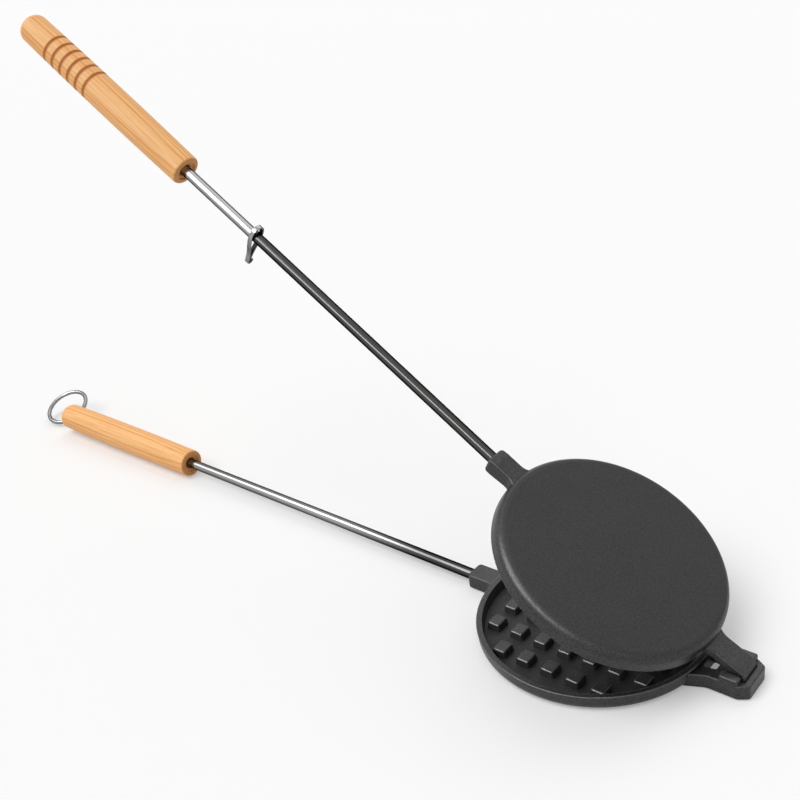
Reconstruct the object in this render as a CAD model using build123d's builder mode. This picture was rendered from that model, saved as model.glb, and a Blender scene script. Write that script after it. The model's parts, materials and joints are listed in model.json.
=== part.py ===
from build123d import *
import math
import os

# A long-handled round iron for cooking waffles over a fire. Two cast plates hook together at
# the far end, each is held on a steel rod, and each rod is driven into a wooden grip. A strap
# catch hangs on the upper rod and a hang-up ring on the butt of the lower grip.
# Millimetres. The lower casting lies on the ground with its base at z = 0 and its centre on
# the Z axis. The hinge is at +X and the grips are at -X.

# Castings
disc_radius = 88.9
half_depth = 13.0
wall_draft = 1.4
base_round = 7.0
lip_width = 4.5
lip_round = 0.8
floor_thickness = 4.0
cavity_draft = 1.2
parting_gap = 0.3

# Waffle pattern
peg_length = 11.8
peg_width = 13.2
peg_height = 5.8
peg_taper = 9
peg_corner = 2.2
peg_crown = 0.7
crown_taper = 45
peg_pitch = 20.5
first_row = 16.75
row_pitch = 22.5
peg_rows = 3
peg_columns = 7
rib_width = 3.6
rib_taper = 8
rib_end_gap = 7.0

# Rod bosses
boss_length = 23.1
boss_width = 18.0
boss_height = 12.6
boss_corner = 3.0
boss_edge = 1.6
boss_flare = 9.0
flare_inset = 2.0
boss_lift = 0.4

# Rods. Each height is that of the axis at the boss face, from the outer face of its plate.
rod_diameter = 9.0
low_rod_height = 7.0
high_rod_height = 6.0
rod_exposed = 346.0
rod_seat_depth = 19.0
rod_tang = 70.0
rod_fit = 0.03
rod_chamfer = 0.8

# Grips
grip_length = 206.0
grip_end_diameter = 26.2
grip_middle_diameter = 27.8
grip_front_round = 2.5
grip_butt_round = 7.0
recess_diameter = 17.0
recess_depth = 2.5
floor_gap = 0.15
groove_count = 6
groove_pitch = 10.4
groove_radius = 1.15
first_groove = 37.5

# Hinge
hinge_reach = 25.0
hinge_height = 11.8
knuckle_radius = 7.5
knuckle_width = 20.0
hinge_play = 0.3
tongue_flare = 12.0
tongue_edge = 1.2
cradle_floor = 3.0
lug_half_width = 17.0
lug_root_half_width = 24.0
lug_tip_half_width = 12.5
lug_waist = 8.0
lug_flare = 11.0
lug_corner = 3.5
lug_end_wall = 4.6
lug_height = 11.5
lug_edge = 1.2
cross_bar = 6.2
window_half_width = 9.6
window_narrow = 7.6
window_wall = 1.8
window_corner = 1.5
cheek_height = 15.8
cheek_length = 14.0
cheek_overhang = 1.0
cheek_corner = 1.6
open_angle = 28.0

# Catch. It hangs clear of the lower rod when the iron is closed, and hooks under it once the
# grips are squeezed together.
catch_distance = 262.0
strap_thickness = 1.5
strap_width = 4.2
strap_play = 0.3
catch_neck = 19.0
catch_reach = 27.5
curl_radius = 3.0
curl_hole = 1.5
catch_clearance = 0.9

# Hang-up ring and its screw eye
ring_radius = 22.3
ring_wire = 4.2
ring_heading = 161.8
ring_rise = 11.2
ring_lean = 19.0
ring_play = 0.85
eye_reach = 6.4
eye_side = 9.0
eye_drop = 7.5
eye_radius = 5.2
eye_wire = 2.2
eye_thread = 14.0
eye_fit = 0.02

rod_radius = rod_diameter / 2
base_radius = disc_radius - wall_draft
cavity_radius = disc_radius - lip_width
floor_radius = cavity_radius - cavity_draft
flare_radius = base_radius - flare_inset
parting = half_depth + parting_gap / 2
boss_face = disc_radius + boss_length
hinge_x = disc_radius + hinge_reach
hinge_line = Axis((hinge_x, 0, hinge_height), (0, 1, 0))
high_axis = 2 * parting - high_rod_height

# The lower rod rises until its grip lies on the ground. The upper rod rises further, so that
# the rods stand apart by the length of the hanging catch when the iron is closed.
low_rise = math.asin((grip_end_diameter / 2 + floor_gap - low_rod_height) / rod_exposed)
catch_end = catch_reach + curl_radius + catch_clearance + rod_radius
rod_splay = math.asin((catch_end - high_axis + low_rod_height) / catch_distance)
high_rise = low_rise + rod_splay


def rod_plane(rise, height, distance):
    """A plane across a rod, at a distance from the boss face, facing the grip."""
    away = Vector(-math.cos(rise), 0, math.sin(rise))
    return Plane(Vector(-boss_face, 0, height) + away * distance, x_dir=(0, 1, 0), z_dir=away)


def opened(shape):
    """The closed upper half swings about the knuckle to the angle at which it stands."""
    return shape.rotate(hinge_line, open_angle)


def pegs_that_fit():
    """The middles of all pegs of the grid that have room on the round floor."""
    middles = []
    for side in (1, -1):
        for row in range(peg_rows):
            for column in range(peg_columns):
                along = (column - (peg_columns - 1) / 2) * peg_pitch
                across = first_row + row * row_pitch
                corner = math.hypot(abs(along) + peg_length / 2, across + peg_width / 2)
                if corner < floor_radius:
                    middles.append((along, side * across))
    return middles


def pan():
    """One round casting, open side up, with its rim, pegs and middle rib."""
    with BuildPart() as body:
        with BuildSketch(Plane.XZ) as section:
            with BuildLine():
                Polyline(
                    (0, 0),
                    (base_radius, 0),
                    (disc_radius, half_depth),
                    (cavity_radius, half_depth),
                    (floor_radius, floor_thickness),
                    (0, floor_thickness),
                    close=True,
                )
            make_face()
            fillet(section.vertices().group_by(Axis.Y)[-1], lip_round)
            fillet(section.vertices().group_by(Axis.Y)[0].sort_by(Axis.X)[-1], base_round)
        revolve(axis=Axis.Z)
        with BuildSketch(Plane.XY.offset(floor_thickness)):
            with Locations(pegs_that_fit()):
                RectangleRounded(peg_length, peg_width, peg_corner)
        extrude(amount=peg_height - peg_crown, taper=peg_taper)
        crowns = body.faces().filter_by(Axis.Z).group_by(Axis.Z)[-2]
        extrude(crowns, amount=peg_crown, taper=crown_taper)
        with BuildSketch(Plane.XY.offset(floor_thickness)):
            Rectangle(2 * (cavity_radius - rib_end_gap), rib_width)
        extrude(amount=peg_height, taper=rib_taper)
    return body.part


def boss(rise, height):
    """The block on the -X side of a casting that holds its rod, flared into the rim."""
    with BuildPart() as block:
        with BuildSketch(Plane.XY.offset(boss_lift)) as outline:
            Circle(flare_radius)
            with Locations((-boss_face / 2, 0)):
                Rectangle(boss_face, boss_width)
            roots = outline.vertices().filter_by(lambda v: 1 < -v.X < boss_face - 1 and abs(v.Y) > 1)
            fillet(roots.group_by(Axis.X)[0], boss_flare)
            fillet(outline.vertices().group_by(Axis.X)[0], boss_corner)
        extrude(amount=half_depth - boss_lift)
        with BuildSketch(Plane.XZ):
            middle = rod_plane(rise, height, -boss_length / 2).origin
            with Locations(Location((middle.X, middle.Z), -math.degrees(rise))):
                Rectangle(boss_length + 2 * boss_flare, boss_height)
        extrude(amount=disc_radius, both=True, mode=Mode.INTERSECT)
        broad = block.faces().filter_by(lambda f: abs(f.normal_at().Z) > 0.9)
        fillet(broad.edges(), boss_edge)
        Cylinder(cavity_radius, 4 * half_depth, mode=Mode.SUBTRACT)
    return block.part


def rod(rise, height):
    """A straight steel rod, from its seat in the boss to the end of its tang in the grip."""
    with BuildPart() as bar:
        with BuildSketch(rod_plane(rise, height, -rod_seat_depth)):
            Circle(rod_radius)
        extrude(amount=rod_seat_depth + rod_exposed + rod_tang)
        chamfer(bar.edges().filter_by(GeomType.CIRCLE), rod_chamfer)
    return bar.part


def grip(rise, height, grooves):
    """A turned wooden grip, a little fuller in the middle, with its turned grooves."""
    front = rod_plane(rise, height, rod_exposed)
    end_radius = grip_end_diameter / 2
    swell = grip_middle_diameter / 2 - end_radius
    with BuildPart() as handle:
        with BuildSketch(Plane(front.origin, x_dir=front.z_dir, z_dir=(0, 1, 0))) as half:
            with BuildLine():
                Line((0, 0), (0, end_radius))
                middle = (grip_length / 2, end_radius + swell)
                ThreePointArc((0, end_radius), middle, (grip_length, end_radius))
                Polyline((grip_length, end_radius), (grip_length, 0), (0, 0))
            make_face()
            corners = half.vertices().group_by(Axis.Y)[-1].sort_by(Axis.X)
            fillet(corners[0], grip_front_round)
            fillet(half.vertices().filter_by(lambda v: v.Y > 1).sort_by(Axis.X)[-1], grip_butt_round)
            for number in range(grooves):
                place = grip_length - first_groove - number * groove_pitch
                share = 2 * place / grip_length - 1
                with Locations((place, end_radius + swell * (1 - share**2))):
                    Circle(groove_radius, mode=Mode.SUBTRACT)
            with Locations((recess_depth / 2, recess_diameter / 4)):
                Rectangle(recess_depth, recess_diameter / 2, mode=Mode.SUBTRACT)
            with Locations((rod_tang / 2, (rod_radius + rod_fit) / 2)):
                Rectangle(rod_tang, rod_radius + rod_fit, mode=Mode.SUBTRACT)
        revolve(axis=Axis(front.origin, front.z_dir))
    return handle.part


with BuildPart() as lug:
    # Two arms leave the rim in a wide curve and end in a cradle for the knuckle.
    cradle_radius = knuckle_radius + hinge_play
    cradle_back = hinge_x - cradle_radius
    tip = hinge_x + cradle_radius + lug_end_wall
    waist = disc_radius + lug_waist
    lug_base = hinge_height - cradle_radius - cradle_floor
    cheek_inner = knuckle_width / 2 + hinge_play
    cheek_width = lug_half_width - cheek_inner
    cheek_start = cradle_back - cheek_overhang
    lug_root = math.sqrt(cavity_radius**2 - lug_root_half_width**2)
    with BuildSketch(Plane.XY.offset(lug_base)) as outline:
        with BuildLine():
            Polyline(
                (lug_root, 0),
                (lug_root, lug_root_half_width),
                (waist, lug_half_width),
                (cheek_start + cheek_length, lug_half_width),
                (tip, lug_tip_half_width),
                (tip, 0),
            )
            mirror(about=Plane.XZ)
        make_face()
        fillet(outline.vertices().filter_by(lambda v: abs(v.X - waist) < 1), lug_flare)
        fillet(outline.vertices().filter_by(lambda v: v.X > hinge_x and v.Y != 0), lug_corner)
    extrude(amount=lug_height - lug_base)
    fillet(lug.faces().sort_by(Axis.Z)[-1].edges(), lug_edge)
    # A raised cheek stands on each side of the knuckle.
    with BuildSketch(Plane.XY.offset(lug_height / 2)):
        for side in (1, -1):
            with Locations((cheek_start + cheek_length / 2, side * (cheek_inner + cheek_width / 2))):
                RectangleRounded(cheek_length, cheek_width, cheek_corner)
    extrude(amount=cheek_height - lug_height / 2)
    fillet(lug.faces().filter_by(Axis.Z).group_by(Axis.Z)[-1].edges(), lug_edge)
    # The cradle is half round and open upwards.
    with BuildSketch(Plane.XZ):
        with Locations((hinge_x, hinge_height)):
            Circle(cradle_radius)
        with Locations((hinge_x, hinge_height + cheek_height / 2)):
            Rectangle(2 * cradle_radius, cheek_height)
    extrude(amount=cheek_inner, both=True, mode=Mode.SUBTRACT)
    # A window lies between the rim and the cross bar.
    with BuildSketch() as window:
        with BuildLine():
            Polyline(
                (disc_radius + window_wall, 0),
                (disc_radius + window_wall, window_half_width),
                (cradle_back - cross_bar, window_narrow),
                (cradle_back - cross_bar, 0),
            )
            mirror(about=Plane.XZ)
        make_face()
        fillet(window.vertices().filter_by(lambda v: v.Y != 0), window_corner)
    extrude(amount=2 * half_depth, mode=Mode.SUBTRACT)
    Cylinder(cavity_radius, 4 * half_depth, mode=Mode.SUBTRACT)

with BuildPart() as tongue:
    # A flat tongue, flared out of the upper rim, ends in the round knuckle.
    tongue_base = half_depth + parting_gap
    with BuildSketch(Plane.XY.offset(tongue_base)) as plan:
        Circle(flare_radius)
        with Locations((hinge_x / 2, 0)):
            Rectangle(hinge_x, knuckle_width)
        roots = plan.vertices().filter_by(lambda v: 1 < v.X < hinge_x - 1 and abs(v.Y) > 1)
        fillet(roots, tongue_flare)
    extrude(amount=hinge_height + knuckle_radius - tongue_base)
    with BuildSketch(Plane.XZ):
        with Locations((hinge_x, hinge_height)):
            Circle(knuckle_radius)
    extrude(amount=knuckle_width / 2, both=True)
    sides = tongue.edges().filter_by(lambda e: abs(abs(e.center().Y) - knuckle_width / 2) < 0.1)
    fillet(sides.filter_by(lambda e: e.center().Z > hinge_height and e.length > 2), tongue_edge)
    Cylinder(cavity_radius, 8 * half_depth, mode=Mode.SUBTRACT)

plate = pan()
mating_plane = Plane.XY.offset(parting)

with BuildPart() as lower_casting:
    add(plate)
    add(boss(low_rise, low_rod_height))
    add(lug.part)
    with BuildSketch(rod_plane(low_rise, low_rod_height, -rod_seat_depth)):
        Circle(rod_radius + rod_fit)
    extrude(amount=2 * rod_seat_depth, mode=Mode.SUBTRACT)

with BuildPart() as closed_casting:
    mirror(plate, about=mating_plane)
    mirror(boss(-high_rise, high_rod_height), about=mating_plane)
    add(tongue.part)
    with BuildSketch(rod_plane(high_rise, high_axis, -rod_seat_depth)):
        Circle(rod_radius + rod_fit)
    extrude(amount=2 * rod_seat_depth, mode=Mode.SUBTRACT)

with BuildPart() as upper_casting:
    add(opened(closed_casting.part))

with BuildPart() as lower_rod:
    add(rod(low_rise, low_rod_height))

with BuildPart() as upper_rod:
    add(opened(rod(high_rise, high_axis)))

with BuildPart() as upper_handle:
    add(opened(grip(high_rise, high_axis, groove_count)))

with BuildPart() as closed_catch:
    # A steel strap is folded over the rod, with its legs pressed together and its end curled.
    strap_inside = rod_radius + strap_play
    with BuildSketch(rod_plane(high_rise, high_axis, catch_distance)):
        with BuildSketch(mode=Mode.PRIVATE) as outside:
            Circle(strap_inside + strap_thickness)
            with Locations((0, catch_neck)):
                Circle(strap_thickness)
            make_hull()
        with BuildSketch(mode=Mode.PRIVATE) as inside:
            Circle(strap_inside)
            with Locations((0, catch_neck - 2 * strap_thickness)):
                Circle(strap_thickness / 4)
            make_hull()
        add(outside.sketch)
        add(inside.sketch, mode=Mode.SUBTRACT)
        with Locations((0, (catch_neck + catch_reach) / 2)):
            Rectangle(2 * strap_thickness, catch_reach - catch_neck)
        with Locations((curl_radius - strap_thickness, catch_reach)):
            Circle(curl_radius)
            Circle(curl_hole, mode=Mode.SUBTRACT)
    extrude(amount=strap_width / 2, both=True)

with BuildPart() as catch:
    add(opened(closed_catch.part))

# The screw eye stands out of the butt of the lower grip, off its axis, and the ring hangs in
# the low side of the eye.
butt = rod_plane(low_rise, low_rod_height, rod_exposed + grip_length)
across = butt.x_dir
down = butt.y_dir
eye_centre = butt.origin + butt.z_dir * eye_reach + across * eye_side + down * eye_drop
eye_foot = Plane(eye_centre - butt.z_dir * (eye_reach + eye_thread), x_dir=across, z_dir=butt.z_dir)

with BuildPart() as ring_eye:
    with BuildSketch(eye_foot):
        Circle(eye_wire / 2)
    extrude(amount=eye_thread + eye_reach - eye_radius - eye_wire / 4)
    with BuildSketch(Plane(eye_centre + butt.z_dir * eye_radius, x_dir=across, z_dir=down)):
        Circle(eye_wire / 2)
    revolve(axis=Axis(eye_centre, across))

with BuildPart() as lower_handle:
    add(grip(low_rise, low_rod_height, 0))
    with BuildSketch(eye_foot):
        Circle(eye_wire / 2 + eye_fit)
    extrude(amount=eye_thread + eye_reach, mode=Mode.SUBTRACT)

heading = math.radians(ring_heading)
climb = math.radians(ring_rise)
lean = math.radians(ring_lean)
ring_seat = eye_centre + down * (eye_radius - (eye_wire + ring_wire) / 2 - ring_play)
towards = Vector(
    math.cos(heading) * math.cos(climb), math.sin(heading) * math.cos(climb), math.sin(climb)
)
level = Vector(-math.sin(heading), math.cos(heading), 0)
ring_normal = towards.cross(level) * math.cos(lean) + level * math.sin(lean)
ring_tangent = ring_normal.cross(towards)

with BuildPart(Plane(ring_seat + towards * ring_radius, x_dir=towards, z_dir=ring_normal)) as hanging_ring:
    Torus(ring_radius, ring_wire / 2)

catch_place = opened(Face.make_rect(1, 1, rod_plane(high_rise, high_axis, catch_distance)))
print("hinge axis through", hinge_line.position)
print("catch turns about", catch_place.center(), "along", catch_place.normal_at())
print("ring swings about", ring_seat, "along", ring_tangent)

pieces = {
    "lower_casting": lower_casting,
    "lower_rod": lower_rod,
    "lower_handle": lower_handle,
    "ring_eye": ring_eye,
    "hanging_ring": hanging_ring,
    "upper_casting": upper_casting,
    "upper_rod": upper_rod,
    "upper_handle": upper_handle,
    "catch": catch,
}
os.makedirs("parts", exist_ok=True)
for name, piece in pieces.items():
    piece.part.label = name
    export_step(piece.part, f"parts/{name}.step")
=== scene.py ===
# %% [markdown]
# A long-handled waffle iron for the fire, dressed for the camera.
#
# The iron itself is already built as solids: two cast pans, two steel rods, two turned wooden
# grips, a strap catch, a screw eye and a hang-up ring. This lesson gives each of them the finish
# that the real one has, lights it and looks at it. All lengths are metres. The middle of the
# lower pan's base is the origin, +X points along the rods from the grips to the hinge, and +Z is
# up.

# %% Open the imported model
import json
import math

import bmesh
import bpy
from mathutils import Matrix, Quaternion, Vector


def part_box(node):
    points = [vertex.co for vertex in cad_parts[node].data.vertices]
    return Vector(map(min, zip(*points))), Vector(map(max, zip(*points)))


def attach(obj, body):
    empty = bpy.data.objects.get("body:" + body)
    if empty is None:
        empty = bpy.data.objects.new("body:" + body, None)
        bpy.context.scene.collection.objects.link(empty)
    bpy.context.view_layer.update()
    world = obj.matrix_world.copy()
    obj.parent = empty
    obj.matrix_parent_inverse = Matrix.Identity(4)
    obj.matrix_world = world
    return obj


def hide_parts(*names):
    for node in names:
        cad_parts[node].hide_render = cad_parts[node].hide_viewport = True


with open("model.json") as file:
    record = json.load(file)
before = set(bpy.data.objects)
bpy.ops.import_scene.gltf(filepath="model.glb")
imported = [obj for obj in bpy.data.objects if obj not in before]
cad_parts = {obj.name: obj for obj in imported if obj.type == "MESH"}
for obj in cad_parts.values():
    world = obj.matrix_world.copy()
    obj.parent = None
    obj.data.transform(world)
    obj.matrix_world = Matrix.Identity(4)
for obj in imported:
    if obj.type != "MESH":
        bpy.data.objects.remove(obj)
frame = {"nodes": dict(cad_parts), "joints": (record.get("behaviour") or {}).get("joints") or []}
nodes = frame["nodes"]
joints = {joint["name"]: joint for joint in frame["joints"]}
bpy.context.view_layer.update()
print("pieces:", ", ".join(sorted(nodes)))

MM = 0.001

# %% [markdown]
# Where the pieces lie.
#
# Wood grain runs along a grip and soot fades along a rod, so a finish has to know the direction
# of the piece it covers. That direction could be typed in, but then it would be wrong as soon as
# the iron is opened wider. It is better to read it from the model: the catch turns about the
# upper rod, so its joint holds the upper rod's direction, and the lower rod's direction comes
# from the corners of its own box.

# %% Directions of the two rods
upper_along = Vector(joints["catch_turn"]["axis"]).normalized()
catch_place = Vector(joints["catch_turn"]["pos_m"])

rod_low, rod_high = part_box("lower_rod")
rod_diameter = rod_high.y - rod_low.y
rod_climb = rod_high.z - rod_low.z - rod_diameter
lower_along = Vector((rod_low.x - rod_high.x, 0, rod_climb)).normalized()


def span(name, direction):
    """How far a piece reaches along a direction: its least and its greatest distance."""
    reach = [vertex.co.dot(direction) for vertex in nodes[name].data.vertices]
    return min(reach), max(reach)


upper_slope = math.degrees(math.asin(upper_along.z))
lower_slope = math.degrees(math.asin(lower_along.z))
print(f"the upper rod climbs {upper_slope:.1f} degrees and the lower rod {lower_slope:.1f}")

# %% [markdown]
# The camera.
#
# A photograph fixes the place of its camera, because near things look larger in it. The round
# rims of the pans show the height of the eye, and the two rods show how far away it stood. A
# normal 50 mm lens is used, turned a little about its own line of sight, as a camera in the hand
# is. The camera could be dragged into place by hand. Here it is placed by a point on the ground
# that it looks at, two angles and a distance, which are easier to read and to change.

# %% Place the camera
look_at = Vector((-0.3703, 0.219, 0))
azimuth = math.radians(42.9)
elevation = math.radians(27.3)
roll = math.radians(-7.8)
distance = 1.2
lens = 50
film_width = 36

backward = Vector((
    math.sin(azimuth) * math.cos(elevation),
    -math.cos(azimuth) * math.cos(elevation),
    math.sin(elevation),
))
camera_data = bpy.data.cameras.new("camera")
camera_data.lens = lens
camera_data.sensor_width = film_width
camera = bpy.data.objects.new("camera", camera_data)
camera.location = look_at + backward * distance
camera.rotation_mode = "QUATERNION"
camera.rotation_quaternion = backward.to_track_quat("Z", "Y") @ Quaternion((0, 0, 1), roll)
bpy.context.scene.collection.objects.link(camera)
bpy.context.scene.camera = camera
print("the camera stands", round(camera.location.z, 3), "m above the ground")

# %% [markdown]
# Nodes in one line.
#
# A finish is a small network of nodes. It can be drawn by hand in the shader editor or written
# in code. Code can be read and changed later, and one recipe can cover several pieces, so this
# lesson writes it. Each helper below adds a node, or fills in its inputs, in one line. An input
# takes a plain value or the output of another node.


# %% Helpers that add nodes
def feed(tree, socket, value):
    """Gives an input its plain value, or connects another node's output to it."""
    if isinstance(value, bpy.types.NodeSocket):
        tree.links.new(value, socket)
    else:
        socket.default_value = value


def feed_all(tree, node, **inputs):
    """Feeds several inputs of a node by their names, with _ where a name has a space."""
    for name, value in inputs.items():
        feed(tree, node.inputs[name.replace("_", " ")], value)


def put(tree, kind, settings=None, **inputs):
    """Adds a node with its settings and its inputs."""
    made = tree.nodes.new(kind)
    for name, value in (settings or {}).items():
        setattr(made, name, value)
    feed_all(tree, made, **inputs)
    return made


def maths(tree, operation, *values):
    """Adds a Math node and returns its result."""
    made = put(tree, "ShaderNodeMath", {"operation": operation})
    for socket, value in zip(made.inputs, values):
        feed(tree, socket, value)
    return made.outputs[0]


print("helpers that add nodes: feed, feed_all, put, maths")

# %% [markdown]
# Masks.
#
# Soot, wear and fading each lie in one part of a piece. A mask is a number that says where: it
# is 1 there, 0 elsewhere and something between along a soft edge. Masks can be painted on a model
# by hand, but they have to be painted again when a size changes. Here they are made from measured
# numbers, such as a height or a radius, and so they follow the piece.


# %% Helpers that make masks
def ramp(tree, factor, low, high, low_value=0.0, high_value=1.0):
    """Turns a number between low and high into one between two other values, with soft ends."""
    return put(
        tree, "ShaderNodeMapRange", {"interpolation_type": "SMOOTHSTEP"},
        Value=factor, From_Min=low, From_Max=high, To_Min=low_value, To_Max=high_value,
    ).outputs["Result"]


def rise(tree, value, place, width):
    """A mask that goes softly from 0 to 1 where a value passes a place."""
    return ramp(tree, value, place - width / 2, place + width / 2)


def fall(tree, value, place, width):
    """A mask that goes softly from 1 to 0 where a value passes a place."""
    return ramp(tree, value, place - width / 2, place + width / 2, 1.0, 0.0)


def all_of(tree, first, *others):
    """Several masks as one: 1 only where all of them are 1. A plain number makes it weaker."""
    for other in others:
        first = maths(tree, "MULTIPLY", first, other)
    return first


print("helpers that make masks: ramp, rise, fall, all_of")

# %% [markdown]
# One material for each finish.
#
# Blender's main shader takes a colour, a roughness and more, and each of them may come from
# nodes. A picture could be wrapped round a piece to give them, but it would need a seam, and
# neither a round pan nor a turned grip has a good place for one. So each finish starts from the
# place of a point in space, and its patterns fill the piece as they fill real iron and wood.


# %% Helpers that start a material and put it on
def new_finish(name):
    """A material with its shader, and a socket that gives the place on the piece in metres."""
    material = bpy.data.materials.new(name)
    material.use_nodes = True
    tree = material.node_tree
    shader = tree.nodes["Principled BSDF"]
    place = put(tree, "ShaderNodeTexCoord").outputs["Object"]
    return material, tree, shader, place


def solid(*values):
    """A colour as Blender wants it: three numbers, and a fourth for no see-through."""
    return (*values, 1.0)


def blend_colours(tree, factor, first, second, mode="MIX"):
    """Mixes two colours. A factor of 0 gives the first and 1 the second."""
    made = put(tree, "ShaderNodeMix", {"data_type": "RGBA", "blend_type": mode})
    for name, value in (("Factor", factor), ("A", first), ("B", second)):
        feed(tree, next(s for s in made.inputs if s.name == name and s.enabled), value)
    return next(s for s in made.outputs if s.enabled)


def cover(material, *names):
    """Puts a finish on pieces of the model."""
    for name in names:
        nodes[name].data.materials.clear()
        nodes[name].data.materials.append(material)
    print(material.name, "covers", ", ".join(names))


print("helpers for a material: new_finish, solid, blend_colours, cover")

# %% [markdown]
# Where the pans are.
#
# A pan is not the same all over: its floor and wall are painted darker, partly as soot and
# partly as painted shade in the hollow, and its rim and the tops of its pegs are painted lighter,
# partly as wear from hands and the other pan and partly as painted highlight. To paint those
# places the finish has to know how deep a point lies in the pan and how far it is from the
# middle.
# For the lower pan that is simply its height and its radius. The upper pan is the same thing
# turned over and swung open on the hinge, so the same two numbers are found by swinging its
# middle and its direction with it.

# %% Middles and directions of the two pans
pan_depth = 13 * MM
pan_radius = 88.9 * MM
pan_gap = 0.3 * MM
peg_top = 9.8 * MM

hinge = joints["lid_hinge"]
hinge_place = Vector(hinge["pos_m"])
opened = Matrix.Rotation(math.radians(-hinge["range_deg"][0]), 3, Vector(hinge["axis"]))
upper_middle = hinge_place + opened @ (Vector((0, 0, 2 * pan_depth + pan_gap)) - hinge_place)
upper_inward = opened @ Vector((0, 0, -1))
print("the upper pan is opened by", -hinge["range_deg"][0], "degrees")

# %% [markdown]
# Depth and radius in a pan.
#
# The shader knows a point by its three coordinates. An empty object at the middle of each pan
# could turn them, but it would be one more thing to keep in place. A dot product with the pan's
# direction gives the depth at once. The radius is then one side of a triangle with a square
# corner: the depth is the other, and the whole distance from the middle is the long one.


# %% Measure inside a pan
def offset_from(tree, place, point):
    """How a place lies from a fixed point."""
    made = put(tree, "ShaderNodeVectorMath", {"operation": "SUBTRACT"})
    feed(tree, made.inputs[0], place)
    feed(tree, made.inputs[1], point)
    return made.outputs[0]


def reach_along(tree, offset, direction):
    """How far an offset reaches along a direction."""
    made = put(tree, "ShaderNodeVectorMath", {"operation": "DOT_PRODUCT"})
    feed(tree, made.inputs[0], offset)
    feed(tree, made.inputs[1], direction)
    return made.outputs["Value"]


def pan_place(tree, place, middle, inward):
    """The depth of a point in a pan, from its outer face, and its radius in the pan."""
    offset = offset_from(tree, place, middle)
    depth = reach_along(tree, offset, inward)
    away = put(tree, "ShaderNodeVectorMath", {"operation": "LENGTH"}, Vector=offset)
    away_squared = maths(tree, "POWER", away.outputs["Value"], 2.0)
    depth_squared = maths(tree, "POWER", depth, 2.0)
    flat_squared = maths(tree, "SUBTRACT", away_squared, depth_squared)
    return depth, maths(tree, "SQRT", maths(tree, "MAXIMUM", flat_squared, 0.0))


print(f"a pan is {pan_depth / MM:.0f} mm deep, with a radius of {pan_radius / MM:.1f} mm")

# %% [markdown]
# Soot and painted shade in the pans.
#
# Fat and smoke burn onto the inside of a pan, and the hollow between the pegs lies in shade.
# Both are painted as one dull black between the pegs and up the wall, while the peg tops and the
# lip stay lighter. The soot could be a thin shell over the iron, but it has no thickness that
# shows. A mask that changes the iron's colour and gloss is enough. The darkness it paints is
# partly soot and partly painted shade.

# %% Where a pan is sooted and painted in shade
rim_inside = pan_radius - 4.5 * MM
wall_foot = pan_radius - 6.5 * MM
soot_and_shade_strength = 0.9


def soot_and_shade_mask(tree, depth, radius):
    """The soot and painted shade on the floor of a pan, between its pegs and on its wall."""
    inside = fall(tree, radius, rim_inside, 0.4 * MM)
    below_tops = fall(tree, depth, peg_top - 0.9 * MM, 0.6 * MM)
    below_lip = fall(tree, depth, pan_depth - 1.15 * MM, 0.7 * MM)
    on_wall = all_of(tree, rise(tree, radius, wall_foot, 1 * MM), below_lip)
    return all_of(tree, inside, maths(tree, "MAXIMUM", below_tops, on_wall))


print(f"soot lies inside a radius of {rim_inside / MM:.1f} mm")

# %% [markdown]
# Rubbed edges and painted highlights.
#
# Scrapers, cloths and the other pan rub the black off what stands out: the edges round the peg
# tops and along the middle rib, and the lip of the rim. The same bands are also painted lighter
# as a painted highlight, for the light that would catch these edges. Blender can look for edges
# by itself, but it then marks all of them alike and depends on the mesh. The depth picks out just
# these narrow bands, and a noise makes the wear and the painted highlight patchy.

# %% Where a pan is rubbed and painted with highlights
wall_middle = pan_radius - 5.5 * MM
lip_wear_and_highlight = 0.75


def wear_and_highlight_mask(tree, depth, radius, swells):
    """Wear and painted highlight on the edges of the pegs and the rib, and on the rim's lip."""
    over = rise(tree, depth, peg_top - 0.52 * MM, 0.2 * MM)
    under = fall(tree, depth, peg_top - 0.09 * MM, 0.1 * MM)
    off_wall = fall(tree, radius, wall_foot, 1 * MM)
    bevels = all_of(tree, over, under, off_wall)
    lip_start = rise(tree, depth, pan_depth - 0.625 * MM, 0.25 * MM)
    lip_end = fall(tree, depth, pan_depth - 0.085 * MM, 0.11 * MM)
    on_rim = rise(tree, radius, wall_middle, 1 * MM)
    at_rim = maths(tree, "LESS_THAN", radius, pan_radius + 0.1 * MM)
    lip = all_of(tree, lip_start, lip_end, on_rim, at_rim, lip_wear_and_highlight)
    patchy = ramp(tree, swells, 0.35, 0.6, 0.55, 1.0)
    return all_of(tree, maths(tree, "MAXIMUM", bevels, lip), patchy)


print(f"the lip is rubbed from a radius of {wall_middle / MM:.1f} mm outward")

# %% [markdown]
# Seasoned cast iron.
#
# Iron that is cast in sand keeps the sand's fine pebbled skin, and baked oil turns it to a soft
# black-grey. A flat dark colour would look like plastic. Here a fine noise raises the skin by a
# few hundredths of a millimetre and lets each grain shine a little more or less, a wider noise
# changes how smooth the oil lies, and the colour goes with both. The masks lay soot with painted
# shade, and wear with painted highlight, over that. They keep it one iron, where separate
# materials would end in hard lines.

# %% The finish of the castings
iron_dark = solid(0.0008, 0.0008, 0.0008)
iron_light = solid(0.0215, 0.0215, 0.0219)
# soot colour: partly soot, partly painted shade in the hollow of the pan
soot_and_shade = solid(0.0030, 0.0030, 0.0031)
# rubbed colour: partly wear, partly painted highlight on the edges
rubbed_and_highlit_iron = solid(0.105, 0.105, 0.107)


def noise(tree, place, scale, detail, roughness=0.5):
    """Soft noise that fills space. The greater its scale, the finer it is."""
    return put(
        tree, "ShaderNodeTexNoise", Vector=place, Scale=scale, Detail=detail, Roughness=roughness
    ).outputs["Fac"]


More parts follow.
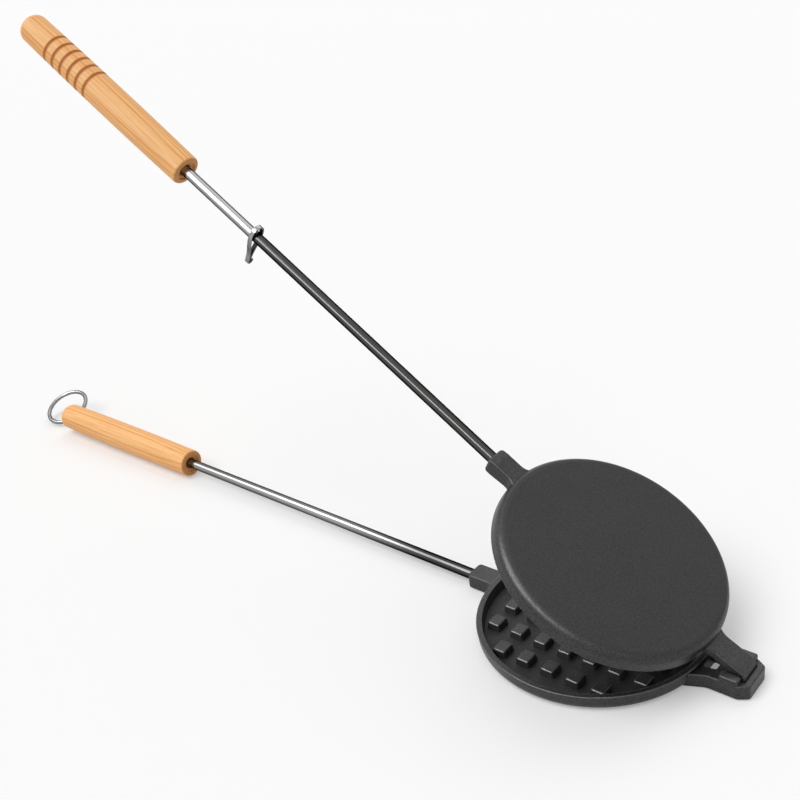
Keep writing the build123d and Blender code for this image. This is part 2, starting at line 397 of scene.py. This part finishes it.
def raise_skin(tree, shader, height, strength, distance):
    """Makes fine relief: a height of 1 stands out by the distance."""
    bump = put(tree, "ShaderNodeBump", Strength=strength, Distance=distance, Height=height)
    feed_all(tree, shader, Normal=bump.outputs["Normal"])


def iron_finish(name, middle, inward):
    """One pan of cast iron: soot and painted shade inside, wear and painted highlight on edges.
    """
    material, tree, shader, place = new_finish(name)
    depth, radius = pan_place(tree, place, middle, inward)
    clouds = noise(tree, place, 30, 5, 0.6)
    grains = noise(tree, place, 900, 3, 0.6)
    swells = noise(tree, place, 420, 2)
    sooted_and_shaded = soot_and_shade_mask(tree, depth, radius)
    rubbed_and_highlit = wear_and_highlight_mask(tree, depth, radius, swells)
    speckle = maths(tree, "MULTIPLY_ADD", grains, 1.6, clouds)
    colour = blend_colours(tree, ramp(tree, speckle, 1.08, 1.62), iron_dark, iron_light)
    # the inside of the pan is painted darker: partly soot, partly painted shade
    colour = blend_colours(tree, all_of(tree, sooted_and_shaded, soot_and_shade_strength), colour, soot_and_shade)
    # the edges are painted lighter: partly wear, partly painted highlight
    colour = blend_colours(tree, rubbed_and_highlit, colour, rubbed_and_highlit_iron)
    rough = ramp(tree, clouds, 0.3, 0.7, 0.36, 0.43)
    rough = maths(tree, "MULTIPLY_ADD", sooted_and_shaded, 0.25, rough)
    rough = maths(tree, "MULTIPLY_ADD", rubbed_and_highlit, -0.12, rough)
    shine = ramp(tree, grains, 0.34, 0.66, 0.43, 0.57)
    feed_all(tree, shader, Base_Color=colour, Roughness=rough, Specular_IOR_Level=shine)
    skin = maths(tree, "MULTIPLY_ADD", swells, 1.4, grains)
    raise_skin(tree, shader, skin, 0.5, 0.09 * MM)
    return material


lower_iron = iron_finish("lower_cast_iron", Vector((0, 0, 0)), Vector((0, 0, 1)))
cover(lower_iron, "lower_casting")
upper_iron = iron_finish("upper_cast_iron", upper_middle, upper_inward)
cover(upper_iron, "upper_casting")

# %% [markdown]
# The frame of one bar.
#
# Grain, scratches and soot need a place measured along the bar and across it. A Mapping node
# could turn the model's own coordinates, but its three angles are hard to read. Three dot
# products do the same and each says what it measures. Noise that is fine across the bar and
# coarse along it then gives the long streaks of drawn steel and of wood.


# %% Distances along and across a bar
def bar_place(tree, place, start, along):
    """The place on a bar: along it from a start point, across it sideways, and across it up."""
    side = Vector((0, 1, 0))
    above = along.cross(side)
    from_start = offset_from(tree, place, start)
    return [reach_along(tree, from_start, direction) for direction in (along, side, above)]


def drawn_noise(tree, parts, along_scale, across_scale, detail, roughness=0.5):
    """Noise drawn out along a bar. Its two scales say how fine it is along it and across it."""
    scales = (along_scale, across_scale, across_scale)
    scaled = [maths(tree, "MULTIPLY", part, scale) for part, scale in zip(parts, scales)]
    place = put(tree, "ShaderNodeCombineXYZ", X=scaled[0], Y=scaled[1], Z=scaled[2]).outputs[0]
    return noise(tree, place, 1.0, detail, roughness)


print(f"the rods are {rod_diameter / MM:.1f} mm thick")

# %% [markdown]
# The light line on a bar.
#
# A polished round bar is read by its long light line between two dark edges. The edges are dark
# because they mirror what stands beside the bar, and this pale studio has nothing dark there. A
# photographer would stand black cards beside the rods, but a card that is right for one view is
# in the way of the next. Here the dark edges are painted into the steel's colour instead, as a
# painted reflection: the steel is darker where it turns away from the eye.


# %% Core and edges of a bar
def core_share(tree, low, high):
    """1 where a round bar faces the eye and 0 along its two painted dark edges."""
    facing = put(tree, "ShaderNodeLayerWeight", Blend=0.5).outputs["Facing"]
    return ramp(tree, facing, low, high, 1.0, 0.0)


def dimmed(tree, colour, share):
    """A colour times a number: 1 leaves it as it is and less makes it darker."""
    grey = put(tree, "ShaderNodeCombineColor", Red=share, Green=share, Blue=share).outputs[0]
    return blend_colours(tree, 1.0, colour, grey, "MULTIPLY")


print("helpers for the light line of a bar: core_share, dimmed")

# %% [markdown]
# Drawn steel rods, blackened toward the pans.
#
# The rods leave the grips as bright drawn steel, and the fire has blackened them on the side of
# the pans. On the upper rod the change is sudden, at the catch, which keeps to its place there.
# On the lower rod it fades. A rod could be cut in two, with a material for each length, but it is
# one bar, so one finish changes along it, and a noise makes the border between the two uneven.

# %% The finish of the rods
bright_steel = solid(0.50, 0.497, 0.49)
# edge colours of the steel: painted dark edges, a painted reflection
bright_steel_painted_edge = solid(0.17, 0.17, 0.172)
black_steel = solid(0.072, 0.071, 0.070)
black_steel_painted_edge = solid(0.014, 0.014, 0.014)
steel_rim = solid(0.12, 0.12, 0.12)
border_wander = 10 * MM


def rod_finish(name, start, along, fade_start, fade_end):
    """Steel that is black below the start of the fade and bright above its end."""
    material, tree, shader, place = new_finish(name)
    parts = bar_place(tree, place, start, along)
    drawn = drawn_noise(tree, parts, 25, 2400, 3)
    mottle = drawn_noise(tree, parts, 60, 160, 4)
    shift = maths(tree, "MULTIPLY", maths(tree, "SUBTRACT", mottle, 0.5), border_wander)
    brightness = ramp(tree, maths(tree, "ADD", parts[0], shift), fade_start, fade_end)
    # the dark edges of the bar are painted in, as a painted reflection
    core = core_share(tree, 0.08, 0.52)
    steel = dimmed(tree, bright_steel, ramp(tree, drawn, 0.3, 0.7, 0.86, 1.0))
    steel = blend_colours(tree, core, bright_steel_painted_edge, steel)
    blackened = blend_colours(tree, core, black_steel_painted_edge, black_steel)
    colour = blend_colours(tree, brightness, blackened, steel)
    worn = ramp(tree, mottle, 0.3, 0.7, -0.03, 0.04)
    rough = maths(tree, "ADD", maths(tree, "MULTIPLY_ADD", brightness, -0.02, 0.19), worn)
    feed_all(tree, shader, Base_Color=colour, Roughness=rough)
    feed_all(tree, shader, Metallic=1.0, Specular_Tint=steel_rim)
    raise_skin(tree, shader, drawn, 0.06, 0.02 * MM)
    return material


upper_rod_steel = rod_finish("upper_rod_steel", catch_place, upper_along, -1 * MM, 2 * MM)
cover(upper_rod_steel, "upper_rod")

lower_grip_front = span("lower_handle", lower_along)[0]
bright_from = lower_grip_front - 180 * MM
black_until = bright_from - 125 * MM
lower_rod_steel = rod_finish(
    "lower_rod_steel", Vector((0, 0, 0)), lower_along, black_until, bright_from
)
cover(lower_rod_steel, "lower_rod")

# %% [markdown]
# The grain of the wood.
#
# A grip is turned from a straight-grained stick. Its growth rings show as long soft bands,
# its fibres as fine streaks between them, and its pores as short dark flecks. A picture of wood
# would wrap badly round the ends, so the wood is a solid pattern that the grip is cut out of:
# rings about a line that lies beside the grip, noise drawn out along it for bands and fibres, and
# a finer, sharper noise for the pores.

# %% Rings, bands, fibres and pores
wood_light = solid(0.98, 0.55, 0.225)
wood_dark = solid(0.82, 0.345, 0.095)
pore_colour = solid(0.48, 0.19, 0.05)
heart_offset = 110 * MM
ring_spacing = 1.5 * MM
ring_wander = 4 * MM


def long_side(tree, first, second):
    """The long side of a triangle with a square corner, from its two short sides."""
    squares = [maths(tree, "POWER", side, 2.0) for side in (first, second)]
    return maths(tree, "SQRT", maths(tree, "ADD", *squares))


def grain(tree, parts):
    """The colour of plain wood, and its fibres and pores for the relief."""
    from_heart = [maths(tree, "ADD", part, heart_offset) for part in parts[1:]]
    wander = maths(tree, "MULTIPLY", drawn_noise(tree, parts, 4, 70, 2), ring_wander)
    heart = maths(tree, "ADD", long_side(tree, *from_heart), wander)
    ring = maths(tree, "PINGPONG", maths(tree, "DIVIDE", heart, ring_spacing), 1.0)
    late = ramp(tree, ring, 0.45, 1.0, 0.0, 0.25)
    fibres = drawn_noise(tree, parts, 16, 1100, 4, 0.65)
    bands = drawn_noise(tree, parts, 3, 700, 3, 0.6)
    shade = maths(tree, "MULTIPLY_ADD", fibres, 1.1, late)
    shade = maths(tree, "MULTIPLY_ADD", bands, 0.7, shade)
    colour = blend_colours(tree, ramp(tree, shade, 0.76, 1.22), wood_light, wood_dark)
    pores = ramp(tree, drawn_noise(tree, parts, 75, 2300, 2), 0.62, 0.74, 0.0, 0.55)
    return blend_colours(tree, pores, colour, pore_colour), fibres, pores


print(f"the growth rings are {ring_spacing / MM:.1f} mm apart")

# %% [markdown]
# Painted shade in the grooves.
#
# The upper grip has six turned grooves, and they are painted a darker, browner colour than the
# wood between them, as painted shade in the hollow of each groove. Each groove could get a ring
# of colour by hand. They stand at an equal pitch, so one mask that repeats along the grip colours
# all of them, and it stays right when their number or their pitch changes.

# %% Where the grooves are painted in shade
# groove colour: painted shade in the grooves
groove_shade_colour = solid(0.62, 0.235, 0.055)
upper_grooves = {
    "count": 6,
    "last": 37.5 * MM,
    "pitch": 10.4 * MM,
    "shade_width": 1.98 * MM,
    "shade_edge": 0.6 * MM,
    "strength": 0.9,
}


def groove_shade_mask(tree, from_butt, grooves):
    """The painted shade in the grooves of a grip. They are counted from its butt."""
    pitch = grooves["pitch"]
    from_last = maths(tree, "SUBTRACT", from_butt, grooves["last"] - pitch / 2)
    in_pitch = maths(tree, "MODULO", from_last, pitch)
    off_centre = maths(tree, "ABSOLUTE", maths(tree, "SUBTRACT", in_pitch, pitch / 2))
    in_groove = fall(tree, off_centre, grooves["shade_width"], grooves["shade_edge"])
    after_start = maths(tree, "GREATER_THAN", from_last, 0.0)
    before_end = maths(tree, "LESS_THAN", from_last, grooves["count"] * pitch)
    return all_of(tree, in_groove, after_start, before_end, grooves["strength"])


print(upper_grooves["count"], "grooves are burnt into the upper grip")

# %% [markdown]
# Oiled ends.
#
# The end of a stick drinks more oil than its side, so the front face of a grip is darker. The
# bore round the rod is darker still, as painted shade in its hollow. Both could be faces with a
# material of their own, but oil creeps round a corner and shade has no sharp border, so these are
# masks as well.

# %% Where the ends are dark
end_colour = solid(0.50, 0.20, 0.055)
# bore colour: painted shade in the hollow round the rod
bore_shade_colour = solid(0.05, 0.022, 0.010)
end_depth = 1 * MM
end_strength = 0.75
bore_edge = 6.25 * MM
bore_shade_strength = 0.85


def end_mask(tree, parts, front):
    """The front face of a grip, on the side of the pans."""
    return all_of(tree, fall(tree, parts[0], front + end_depth, 1.2 * MM), end_strength)


def bore_shade_mask(tree, parts, half_way):
    """The painted shade in the bore round the rod, in the front half of a grip."""
    near_axis = fall(tree, long_side(tree, parts[1], parts[2]), bore_edge, 2.5 * MM)
    in_front = maths(tree, "LESS_THAN", parts[0], half_way)
    return all_of(tree, near_axis, in_front, bore_shade_strength)


print(f"oil darkens the front {end_depth / MM:.0f} mm of a grip")

# %% [markdown]
# Turned, oiled wood.
#
# The two grips are the same kind of wood, but one is grooved and they lie in different
# directions. They could be two materials that are kept alike by hand. One recipe with the grip's
# own measures makes both, so a change to the wood reaches both. The oil leaves a soft gloss that
# the fibres break up, and the pores sink in a little.


# %% The finish of the grips
def wood_finish(name, node, along, grooves=None):
    """Wood for one grip, with its grooves if it has any."""
    material, tree, shader, place = new_finish(name)
    low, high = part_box(node)
    middle = (low + high) / 2
    parts = bar_place(tree, place, middle, along)
    front, butt = (end - middle.dot(along) for end in span(node, along))
    colour, fibres, pores = grain(tree, parts)
    if grooves:
        # the grooves are painted darker: painted shade
        shaded = groove_shade_mask(tree, maths(tree, "SUBTRACT", butt, parts[0]), grooves)
        colour = blend_colours(tree, shaded, colour, groove_shade_colour)
    colour = blend_colours(tree, end_mask(tree, parts, front), colour, end_colour)
    # the bore is painted near black: painted shade
    in_bore_shade = bore_shade_mask(tree, parts, (front + butt) / 2)
    colour = blend_colours(tree, in_bore_shade, colour, bore_shade_colour)
    rough = ramp(tree, fibres, 0.3, 0.7, 0.46, 0.56)
    feed_all(tree, shader, Base_Color=colour, Roughness=rough, Specular_IOR_Level=0.3)
    height = maths(tree, "SUBTRACT", fibres, maths(tree, "MULTIPLY", pores, 0.8))
    raise_skin(tree, shader, height, 0.25, 0.05 * MM)
    return material


upper_wood = wood_finish("upper_grip_wood", "upper_handle", upper_along, upper_grooves)
cover(upper_wood, "upper_handle")
lower_wood = wood_finish("lower_grip_wood", "lower_handle", lower_along)
cover(lower_wood, "lower_handle")

# %% [markdown]
# Small steel parts.
#
# The ring and its screw eye are bright bent wire, and the catch is a strip whose inner faces are
# painted dark as painted shade. All are metal, so their look comes from what they reflect, and
# from dark edges painted into their colour as a painted reflection. Each could have a recipe of
# its own, but only the colour and the polish differ, so one recipe makes the three finishes. The
# smoother a metal is, the sharper and the brighter its light lines are.


# %% The finish of the ring, the eye and the catch
def bent_steel(name, colour, smooth, rough):
    """Bent steel with uneven polish, between a smooth and a rough one."""
    material, tree, shader, place = new_finish(name)
    clouds = noise(tree, place, 260, 4)
    marks = noise(tree, place, 2200, 2)
    steel = dimmed(tree, colour, ramp(tree, clouds, 0.3, 0.7, 0.72, 1.0))
    # the dark edges are painted in, as a painted reflection
    steel = blend_colours(tree, core_share(tree, 0.40, 0.78), bright_steel_painted_edge, steel)
    polish = ramp(tree, clouds, 0.3, 0.7, rough, smooth)
    feed_all(tree, shader, Base_Color=steel, Roughness=polish)
    feed_all(tree, shader, Metallic=1.0, Specular_Tint=steel_rim)
    raise_skin(tree, shader, marks, 0.2, 0.02 * MM)
    return material


ring_steel = bent_steel("ring_steel", solid(0.30, 0.297, 0.292), 0.2, 0.32)
cover(ring_steel, "hanging_ring", "ring_eye")
catch_steel = bent_steel("catch_steel", solid(0.37, 0.366, 0.355), 0.24, 0.36)
# dark steel for the inner faces of the catch: painted shade
inner_shade_steel = bent_steel("inner_shade_steel", solid(0.07, 0.066, 0.062), 0.32, 0.45)
cover(catch_steel, "catch")

# %% [markdown]
# The line of the catch.
#
# The catch is a length of flat strip. It is folded over the rod into a long narrow loop, the two
# legs meet below it, and the front leg ends in a small curl that hooks under the other rod. A
# bent strip is easiest to build the way it is bent, so it starts as a line in the plane across
# the rod. The line could be put together from arcs and straight lengths, but a strip bent by hand
# has neither. A soft line through a few points is closer to it, and only the curl is a true arc.

# %% Bend the line
loop_points = [
    (0.9, 24.0), (2.0, 17.0), (4.2, 9.5), (5.6, 3.0), (5.9, -2.0), (5.0, -6.4), (2.7, -9.0),
    (0.0, -9.6), (-2.7, -9.0), (-5.0, -6.4), (-5.9, -2.0), (-5.6, 3.0), (-4.2, 9.5), (-2.3, 16.0),
    (-1.1, 22.0),
]
loop_steps = 8
curl_middle = (1.5, 27.5)
curl_radius = 2.25
curl_start = 180
curl_turn = 225
curl_steps = 40


def smooth_line(points, steps):
    """A line that runs softly through its points."""
    line = []
    for here in range(len(points) - 1):
        before, start = Vector(points[max(here - 1, 0)]), Vector(points[here])
        end, after = Vector(points[here + 1]), Vector(points[min(here + 2, len(points) - 1)])
        for step in range(steps):
            t = step / steps
            bend = 2 * before - 5 * start + 4 * end - after
            twist = 3 * start - before - 3 * end + after
            line.append(start + (end - before) * t / 2 + bend * t * t / 2 + twist * t ** 3 / 2)
    return line + [Vector(points[-1])]


strip_line = smooth_line(loop_points, loop_steps)
for step in range(1, curl_steps):
    turn = math.radians(curl_start - curl_turn * step / (curl_steps - 1))
    spoke = Vector((math.cos(turn), math.sin(turn)))
    strip_line.append(Vector(curl_middle) + spoke * curl_radius)
strip_line = [point * MM for point in strip_line]
print("the strip is bent through", len(strip_line), "points")

# %% [markdown]
# From a line to a strip.
#
# Every point of the line gets the four corners of the strip, and neighbouring corners are joined
# by faces. A Blender curve with a flat profile would give nearly the same shape, but no hold on
# single faces. Here the faces inside the loop are kept apart and get a dark steel, as painted
# shade inside the loop, while the outside stays bright.

# %% Give the line its width and thickness
strip_width = 3.8 * MM
strip_thickness = 1.4 * MM
catch_side = Vector((0, 1, 0))
catch_down = upper_along.cross(catch_side)

shape = bmesh.new()
sections = []
for here, point in enumerate(strip_line):
    behind, ahead = strip_line[max(here - 1, 0)], strip_line[min(here + 1, len(strip_line) - 1)]
    heading = (ahead - behind).normalized()
    outward = Vector((-heading.y, heading.x))
    corners = []
    for out, along in ((1, -1), (1, 1), (-1, 1), (-1, -1)):
        flat = point + outward * out * strip_thickness / 2
        in_plane = catch_place + catch_side * flat.x + catch_down * flat.y
        corners.append(shape.verts.new(in_plane + upper_along * along * strip_width / 2))
    sections.append(corners)
for first, second in zip(sections, sections[1:]):
    for corner in range(4):
        side_corners = (first[corner], first[corner - 1], second[corner - 1], second[corner])
        face = shape.faces.new(side_corners)
        # the inner faces get the dark steel: painted shade
        face.material_index = 1 if corner == 3 else 0
shape.faces.new(sections[0])
shape.faces.new(list(reversed(sections[-1])))
bmesh.ops.recalc_face_normals(shape, faces=shape.faces)
catch_mesh = bpy.data.meshes.new("catch_strip")
shape.to_mesh(catch_mesh)
shape.free()
print("the strip has", len(catch_mesh.polygons), "faces")

# %% [markdown]
# The strip on its rod.
#
# The strip has to swing with the catch, so it rides on the catch's body and is seen in place of
# the plain solid strap. The edges of a real strip are worn and never quite sharp. They could be
# modelled round, but a bevel modifier does it in one step, and its width is easy to change.

# %% Hang the strip on the upper rod
catch_strip = bpy.data.objects.new("catch_strip", catch_mesh)
bpy.context.scene.collection.objects.link(catch_strip)
edges = catch_strip.modifiers.new("worn_edges", "BEVEL")
edges.width = 0.3 * MM
edges.segments = 2
edges.limit_method = "ANGLE"
edges.harden_normals = True
catch_mesh.shade_smooth()
catch_mesh.materials.append(catch_steel)
catch_mesh.materials.append(inner_shade_steel)
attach(catch_strip, "catch_body")
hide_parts("catch")
print("the strip's edges are worn by", round(edges.width / MM, 1), "mm")

# %% [markdown]
# The ground.
#
# A photograph on white has no edge where the ground ends. A curved paper sweep would do it in a
# studio. Here the ground is one large pale sheet, and what the camera sees of it is lifted to
# near white by a little light of its own. That light is seen by the camera and in reflections
# only, so it doesn't shine on the iron, and the soft shadows stay.

# %% Lay the ground
ground_size = 24.0
ground_colour = solid(0.72, 0.72, 0.72)
ground_lift = 0.255


def seen_or_reflected(tree):
    """1 for rays from the camera, in mirrors and through glass, 0 for the light on the iron."""
    path = put(tree, "ShaderNodeLightPath").outputs
    reflected = maths(tree, "MAXIMUM", path["Is Glossy Ray"], path["Is Transmission Ray"])
    return maths(tree, "MAXIMUM", path["Is Camera Ray"], reflected)


ground_mesh = bpy.data.meshes.new("ground")
half = ground_size / 2
corners = [(-half, -half, 0), (half, -half, 0), (half, half, 0), (-half, half, 0)]
ground_mesh.from_pydata(corners, [], [(0, 1, 2, 3)])
ground = bpy.data.objects.new("ground", ground_mesh)
bpy.context.scene.collection.objects.link(ground)

ground_finish, tree, shader, place = new_finish("ground_paper")
lift = maths(tree, "MULTIPLY", seen_or_reflected(tree), ground_lift)
feed_all(tree, shader, Base_Color=ground_colour, Roughness=0.9, Specular_IOR_Level=0.1)
feed_all(tree, shader, Emission_Color=solid(1, 1, 1), Emission_Strength=lift)
ground_mesh.materials.append(ground_finish)
print("the ground is", ground_size, "m across")

# %% [markdown]
# The sky.
#
# Something pale has to stand all round the iron, or its steel would mirror the dark. A room could
# be built for that. A plain white world is simpler and draws no edges in the steel. It is white
# to the camera and in reflections. As light on the iron it has about half that strength, so that
# it fills the shadows without washing them out.

# %% Set the sky
sky_light = 0.48

world = bpy.data.worlds.new("sky")
bpy.context.scene.world = world
world.use_nodes = True
tree = world.node_tree
level = ramp(tree, seen_or_reflected(tree), 0.0, 1.0, sky_light, 1.0)
feed_all(tree, tree.nodes["Background"], Color=solid(1, 1, 1), Strength=level)
print("the sky lights the iron at", sky_light, "of its white")

# %% [markdown]
# Light.
#
# Dark iron only shows its form by what shines on its edges. A single lamp would make a hard
# shadow and a bright spot. Here a broad soft sun from high in front and a weaker one from behind
# give the form and a soft shadow, and the sky fills the rest. They would leave the rods and the
# rounded edges dull, because a mirror-like surface shows a lamp only from the one direction that
# it reflects to the eye. Two more lamps stand in those directions: a wide panel in front for the
# rods, and a sun on the left for the edge of the upper pan. They are kept from the dull share of
# every surface, so they draw light lines and change neither the colours nor the shadows.


# %% Hang the lights
def aimed(name, data, where, target):
    """A lamp at a place, turned toward a point."""
    lamp = bpy.data.objects.new(name, data)
    lamp.location = where
    lamp.rotation_mode = "QUATERNION"
    lamp.rotation_quaternion = (Vector(where) - Vector(target)).to_track_quat("Z", "Y")
    bpy.context.scene.collection.objects.link(lamp)
    return lamp


def sun(name, energy, spread, where):
    """A sun at a place, turned toward the origin. A wide spread in degrees makes it soft."""
    data = bpy.data.lights.new(name, "SUN")
    data.energy = energy
    data.angle = math.radians(spread)
    return aimed(name, data, where, (0, 0, 0))


soft_sun = sun("soft_sun", 1.38, 42, (-0.60, -0.95, 1.95))
back_sun = sun("back_sun", 0.45, 45, (-0.35, 1.0, 1.5))

panel_data = bpy.data.lights.new("front_panel", "AREA")
panel_data.shape = "RECTANGLE"
panel_data.size = 2.2
panel_data.size_y = 0.35
panel_data.energy = 24.0
panel = aimed("front_panel", panel_data, (-0.2, -1.40, 1.25), (-0.1, 0, 0.05))

edge_sun = sun("edge_sun", 0.9, 30, (-0.55, -0.36, 0.75))
for lamp in (panel, edge_sun):
    lamp.visible_diffuse = False
print("lights:", ", ".join(lamp.name for lamp in (soft_sun, back_sun, panel, edge_sun)))

# %% [markdown]
# Colours as they are.
#
# Blender's usual view darkens and softens bright tones. A product picture on white keeps its
# tones plain, so the plain view is chosen and nothing else is changed.

# %% Finish
bpy.context.scene.view_settings.view_transform = "Standard"
